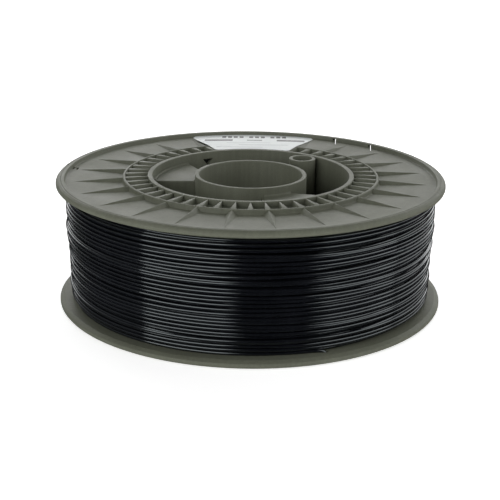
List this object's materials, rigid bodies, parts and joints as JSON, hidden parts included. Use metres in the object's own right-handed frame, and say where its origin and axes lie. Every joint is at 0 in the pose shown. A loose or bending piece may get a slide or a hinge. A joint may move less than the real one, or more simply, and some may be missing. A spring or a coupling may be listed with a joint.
{
  "type": "filament spool",
  "caption": "Full spool of black 1.75 mm printer filament: two ribbed grey flanges on a hollow drum, with a central bore for a holder's rod and a paper label.",
  "frame": {"origin": "centre of the bounding box's underside, on the spool's axis, where the lower flange rests on a table", "axes": "+Z along the spool's axis, from the lower flange to the flange that carries the label; +Y from the axis to the middle of the label; +X completes a right-handed frame"},
  "size_m": [0.2, 0.2, 0.0665],
  "materials": {
    "spool_plastic": "fine moulded matte, warm grey with a slight olive tone",
    "filament_plastic": "glossy extruded black",
    "label_paper": "smooth white coated label paper"
  },
  "bodies": {
    "root": {"upper_flange": "spool_plastic", "lower_flange": "spool_plastic", "winding_barrel": "spool_plastic", "hub_tube": "spool_plastic", "left_core_bridge": "spool_plastic", "right_core_bridge": "spool_plastic", "front_core_floor": "spool_plastic", "rear_core_floor": "spool_plastic", "drive_pin_tube": "spool_plastic", "filament_winding": "filament_plastic", "filament_end_tail": "filament_plastic", "flange_label": "label_paper"}
  },
  "joints": []
}
